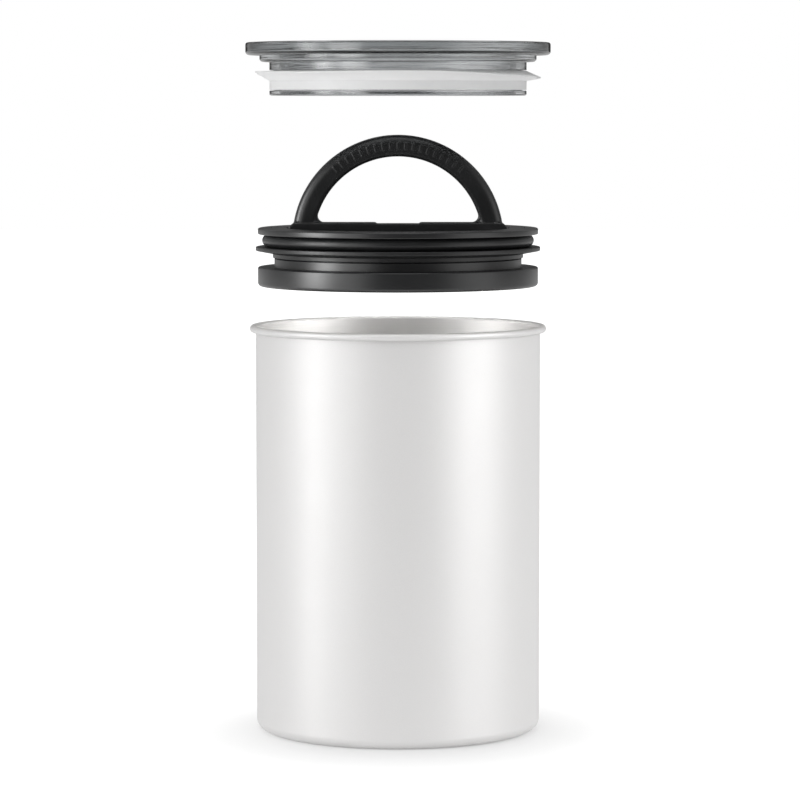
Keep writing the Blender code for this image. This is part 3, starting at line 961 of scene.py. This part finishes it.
# Studio
def floor_glow(tree, rays):
    """The floor's own light, which makes it white to the camera, and less so near the canister, most to
    its front, in a painted shadow over the real one.
    """
    place = add_node(tree, "TexCoord").outputs["Object"]
    distance = add_node(tree, "VectorMath", {0: place, 1: painted_shadow_centre}, operation="DISTANCE")
    reach = (painted_shadow_fade_start, painted_shadow_fade_end, painted_shadow_glow, floor_glow_far)
    shown = mapped(tree, distance.outputs["Value"], *reach)
    seen = math_node(tree, "MAXIMUM", rays["Is Glossy Ray"], rays["Is Transmission Ray"])
    reflected = mapped(tree, seen, high=floor_reflected_glow)
    strength = mapped(tree, rays["Is Camera Ray"], low=reflected, high=shown)
    return add_node(tree, "Emission", {"Strength": strength}).outputs["Emission"]


def studio_floor():
    """Matt and glowing. Gloss sees it with a soft mirror over it."""
    material = bpy.data.materials.new("studio_floor")
    material.use_nodes = True
    tree = material.node_tree
    tree.nodes.remove(tree.nodes["Principled BSDF"])
    rays = add_node(tree, "LightPath").outputs
    matt = add_node(tree, "BsdfDiffuse", {"Color": grey(floor_tone)}).outputs["BSDF"]
    plain = add_node(tree, "AddShader", {0: matt, 1: floor_glow(tree, rays)}).outputs["Shader"]
    mirror = {"Color": grey(floor_mirror_tone), "Roughness": floor_mirror_roughness}
    shine = add_node(tree, "BsdfGlossy", mirror).outputs["BSDF"]
    polished = add_node(tree, "AddShader", {0: plain, 1: shine}).outputs["Shader"]
    chosen = add_node(tree, "MixShader", {"Fac": rays["Is Glossy Ray"], 1: plain, 2: polished})
    fill(tree, tree.nodes["Material Output"].inputs["Surface"], chosen.outputs["Shader"])
    return material


def make_floor():
    """A plain pale floor. To the camera its lit parts are pure white and its real shadows stay, and its
    glow dims near the canister in a painted shadow.
    """
    shape = bmesh.new()
    corners = [(-1, floor_front), (1, floor_front), (1, floor_back), (-1, floor_back)]
    shape.faces.new([shape.verts.new((x * floor_side, y, floor_level)) for x, y in corners])
    floor = mesh_object("studio_floor", shape)
    floor.data.materials.append(studio_floor())


def studio_ramp(tree, depth):
    """The studio's tone in each direction, by how far it points along Y."""
    place = mapped(tree, depth, start=-1)
    ramp = add_node(tree, "ValToRGB", {"Fac": place})
    elements = ramp.color_ramp.elements
    while len(elements) < len(studio_tones):
        elements.new(0.5)
    for element, (side, tone) in zip(elements, studio_tones):
        element.position = (side + 1) / 2
        element.color = grey(tone)
    return ramp.outputs["Color"]


def make_world():
    """White to the camera, and one plain tone to matt surfaces. Gloss sees the studio's tones.

    Through the smoky plastic, the world is white at the back and dim on all other sides.
    """
    world = bpy.data.worlds.new("studio")
    bpy.context.scene.world = world
    world.use_nodes = True
    tree = world.node_tree
    rays = add_node(tree, "LightPath").outputs
    direction = add_node(tree, "TexCoord").outputs["Generated"]
    depth = add_node(tree, "SeparateXYZ", {"Vector": direction}).outputs["Y"]
    behind = mapped(tree, depth, backdrop_start, backdrop_full, low=backdrop_tone, smooth=True)
    room = mapped(tree, rays["Is Glossy Ray"], low=ambient, high=studio_ramp(tree, depth))
    room = mapped(tree, rays["Is Transmission Ray"], low=room, high=behind)
    strength = mapped(tree, rays["Is Camera Ray"], low=room)
    background = tree.nodes["Background"]
    fill(tree, background.inputs["Color"], grey(1))
    fill(tree, background.inputs["Strength"], strength)


def fade_edges(tree, fade):
    """Lets an area lamp's light die away towards its edges."""
    place = add_node(tree, "NewGeometry").outputs["Parametric"]
    sides = add_node(tree, "SeparateXYZ", {"Vector": place}).outputs
    shares = []
    for side in ("X", "Y"):
        from_edge = math_node(tree, "PINGPONG", sides[side], 0.5)
        shares.append(mapped(tree, from_edge, end=fade / 2, smooth=True))
    fill(tree, tree.nodes["Emission"].inputs["Strength"], math_node(tree, "MULTIPLY", *shares))


def softbox(name, lamp):
    """A soft rectangular lamp, aimed at the middle of the canister's mouth."""
    light = bpy.data.lights.new(name, "AREA")
    light.shape = "RECTANGLE"
    light.size = lamp.width
    light.size_y = lamp.height
    light.energy = lamp.radiance * math.pi * lamp.width * lamp.height
    light.use_nodes = True
    fade_edges(light.node_tree, lamp.fade)
    box = bpy.data.objects.new(name, light)
    turn, rise = math.radians(lamp.azimuth), math.radians(lamp.elevation)
    away = Vector((math.sin(turn) * math.cos(rise), -math.cos(turn) * math.cos(rise), math.sin(rise)))
    box.location = Vector((0, 0, canister_high.z)) + away * lamp.distance
    box.rotation_euler = (-away).to_track_quat("-Z", "Y").to_euler()
    box.visible_camera = False
    bpy.context.scene.collection.objects.link(box)
    return box


def light_only(lamp, pieces):
    """Keeps a lamp to these pieces, as the photograph's pieces were lit one by one."""
    lit = bpy.data.collections.new(lamp.name + "_pieces")
    for piece in pieces:
        lit.objects.link(piece)
    lamp.light_linking.receiver_collection = lit
    lamp.light_linking.blocker_collection = lit


def make_lights(pieces):
    """Makes each lamp of the table, and keeps it to its own pieces unless it lights all."""
    made = {}
    for name, lamp in lamps.items():
        made[name] = softbox(name, lamp)
        if lamp.lit != "all":
            light_only(made[name], pieces[lamp.lit])
    made["canister_back"].visible_glossy = False
    for side in ("mouth_left", "mouth_right"):
        made[side].location.y += mouth_shift
        made[side].data.spread = mouth_spread


def make_camera():
    camera = bpy.data.cameras.new("camera")
    camera.lens = camera_lens
    camera.sensor_width = sensor_width
    camera.clip_end = camera_reach
    eye = bpy.data.objects.new("camera", camera)
    eye.location = (camera_side, -camera_distance, camera_height)
    eye.rotation_euler = (math.radians(90) - camera_pitch, 0, 0)
    bpy.context.scene.collection.objects.link(eye)
    bpy.context.scene.camera = eye


def dress(piece, body, nodes, materials):
    """Gives a piece its materials and its body, and hides the nodes that it stands for."""
    for material in materials:
        piece.data.materials.append(material)
    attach(piece, body)
    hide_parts(*nodes)
    return piece


make_camera()
make_world()
make_floor()

coat, steel = coated_steel(), bare_steel()
smoky, silicone = smoky_plastic(), white_silicone()
plastic, rubber = black_plastic(), black_silicone()

canister = dress(make_canister(), "canister", ["canister_shell"], [coat, steel])
outer_lid = dress(make_outer_lid(), "outer_lid", ["outer_lid_shell"], [smoky])
gasket = dress(make_outer_gasket(), "outer_lid", ["outer_lid_gasket"], [silicone])
inner_lid = [
    dress(make_deck(), "inner_lid", ["inner_lid_top"], [plastic]),
    dress(make_base(), "inner_lid", ["inner_lid_base"], [plastic]),
    dress(make_wiper(), "inner_lid", ["wiper_seal"], [rubber]),
    dress(make_bead(), "inner_lid", ["bead_seal"], [rubber]),
    dress(make_pivot_cap(-1, "cap_left"), "inner_lid", ["pivot_cap_left"], [plastic]),
    dress(make_pivot_cap(1, "cap_right"), "inner_lid", ["pivot_cap_right"], [plastic]),
    dress(make_handle(), "handle", ["handle"], [plastic]),
]

spring = dress(make_spring(), "inner_lid", ["valve_spring"], [spring_steel()])
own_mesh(spring)

for node, material in (("valve_stem", natural_plastic()), ("valve_disc", clear_silicone())):
    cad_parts[node].data.materials.clear()
    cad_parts[node].data.materials.append(material)

make_lights({"canister": [canister], "outer_lid": [outer_lid], "gasket": [gasket], "inner_lid": inner_lid})

bpy.context.scene.view_settings.view_transform = "Standard"
